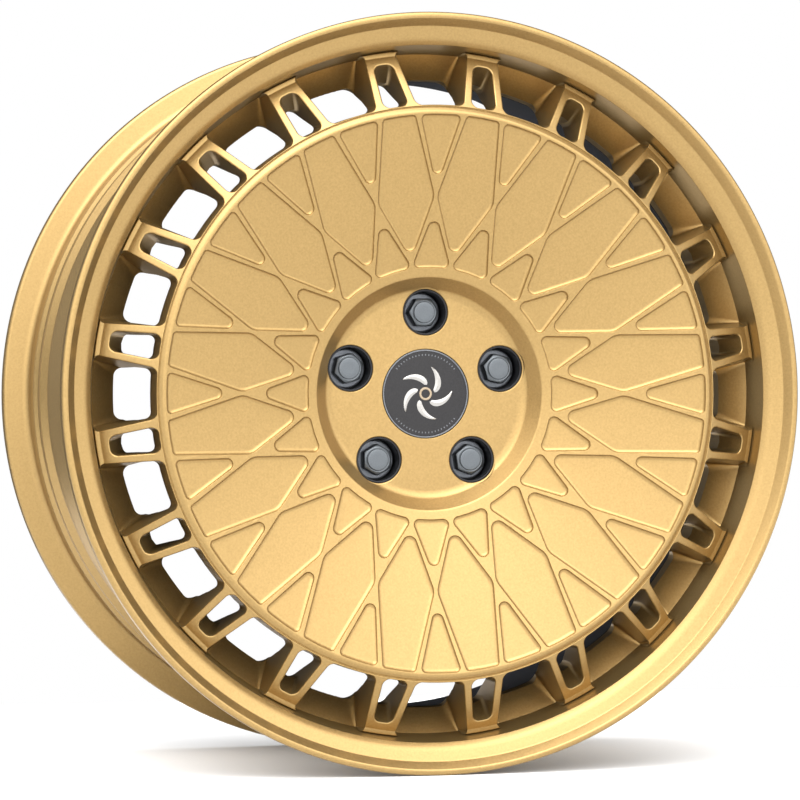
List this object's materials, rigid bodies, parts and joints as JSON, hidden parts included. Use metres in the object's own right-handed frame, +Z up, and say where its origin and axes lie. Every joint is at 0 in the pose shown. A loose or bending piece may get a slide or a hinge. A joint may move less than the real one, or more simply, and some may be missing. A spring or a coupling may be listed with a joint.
{
  "type": "forged racing wheel rim",
  "caption": "Gold two-piece forged wheel with a dished lattice centre, forked spokes round the rim, bolt-on hub, centre cap and tyre valve.",
  "frame": {"origin": "centre of the wheel on its axis, midway between the two flanges", "axes": "+Y along the axis from the face to the back (the hub leaves that way), the face looks to -Y, +Z up, one bolt at the top"},
  "size_m": [0.5175, 0.2581, 0.5176],
  "materials": {
    "gold_paint": "satin metallic",
    "weld": "rough",
    "black_steel": "black oxide",
    "bolt_steel": "zinc flake",
    "cap_black": "satin",
    "cap_trim": "satin",
    "rubber": "matte",
    "bright_steel": "plated",
    "brass": "plain"
  },
  "bodies": {
    "root": {"barrel": "gold_paint", "centre": "gold_paint", "weld_bead": "weld", "lug_sleeve_1": "black_steel", "lug_sleeve_2": "black_steel", "lug_sleeve_3": "black_steel", "lug_sleeve_4": "black_steel", "lug_sleeve_5": "black_steel", "valve_stem": "bright_steel", "valve_seal": "rubber", "valve_washer": "bright_steel", "valve_nut": "bright_steel", "valve_core": "brass", "valve_spring": "bright_steel"},
    "collar_1": {"lug_collar_1": "bolt_steel"},
    "bolt_1": {"lug_bolt_1": "bolt_steel"},
    "collar_2": {"lug_collar_2": "bolt_steel"},
    "bolt_2": {"lug_bolt_2": "bolt_steel"},
    "collar_3": {"lug_collar_3": "bolt_steel"},
    "bolt_3": {"lug_bolt_3": "bolt_steel"},
    "collar_4": {"lug_collar_4": "bolt_steel"},
    "bolt_4": {"lug_bolt_4": "bolt_steel"},
    "collar_5": {"lug_collar_5": "bolt_steel"},
    "bolt_5": {"lug_bolt_5": "bolt_steel"},
    "cap": {"cap_body": "cap_black", "cap_trim_ring": "cap_trim", "cap_badge": "cap_black", "cap_o_ring": "rubber", "cap_spring_ring": "bright_steel"},
    "valve_cap": {"valve_cap": "cap_trim"},
    "valve_pin": {"valve_pin": "brass"}
  },
  "joints": [
    {"name": "lug_1_out", "type": "slide", "parent": "root", "child": "collar_1", "axis": [0, -1, 0], "range_m": [0, 0.07]},
    {"name": "lug_1_spin", "type": "hinge", "parent": "collar_1", "child": "bolt_1", "pos_m": [0, -0.0673, 0.056], "axis": [0, 1, 0], "continuous": true},
    {"name": "lug_2_out", "type": "slide", "parent": "root", "child": "collar_2", "axis": [0, -1, 0], "range_m": [0, 0.07]},
    {"name": "lug_2_spin", "type": "hinge", "parent": "collar_2", "child": "bolt_2", "pos_m": [-0.05326, -0.0673, 0.01731], "axis": [0, 1, 0], "continuous": true},
    {"name": "lug_3_out", "type": "slide", "parent": "root", "child": "collar_3", "axis": [0, -1, 0], "range_m": [0, 0.07]},
    {"name": "lug_3_spin", "type": "hinge", "parent": "collar_3", "child": "bolt_3", "pos_m": [-0.03292, -0.0673, -0.0453], "axis": [0, 1, 0], "continuous": true},
    {"name": "lug_4_out", "type": "slide", "parent": "root", "child": "collar_4", "axis": [0, -1, 0], "range_m": [0, 0.07]},
    {"name": "lug_4_spin", "type": "hinge", "parent": "collar_4", "child": "bolt_4", "pos_m": [0.03292, -0.0673, -0.0453], "axis": [0, 1, 0], "continuous": true},
    {"name": "lug_5_out", "type": "slide", "parent": "root", "child": "collar_5", "axis": [0, -1, 0], "range_m": [0, 0.07]},
    {"name": "lug_5_spin", "type": "hinge", "parent": "collar_5", "child": "bolt_5", "pos_m": [0.05326, -0.0673, 0.01731], "axis": [0, 1, 0], "continuous": true},
    {"name": "cap_pull", "type": "slide", "parent": "root", "child": "cap", "axis": [0, -1, 0], "range_m": [0, 0.03]},
    {"name": "valve_cap_off", "type": "slide", "parent": "root", "child": "valve_cap", "axis": [-0.9877, 0, -0.1564], "range_m": [0, 0.018]},
    {"name": "valve_pin_press", "type": "slide", "parent": "root", "child": "valve_pin", "axis": [0.9877, 0, 0.1564], "range_m": [0, 0.0015], "stiffness_N_per_m": 300, "springref_m": -0.001, "deforming": ["valve_spring"]}
  ]
}
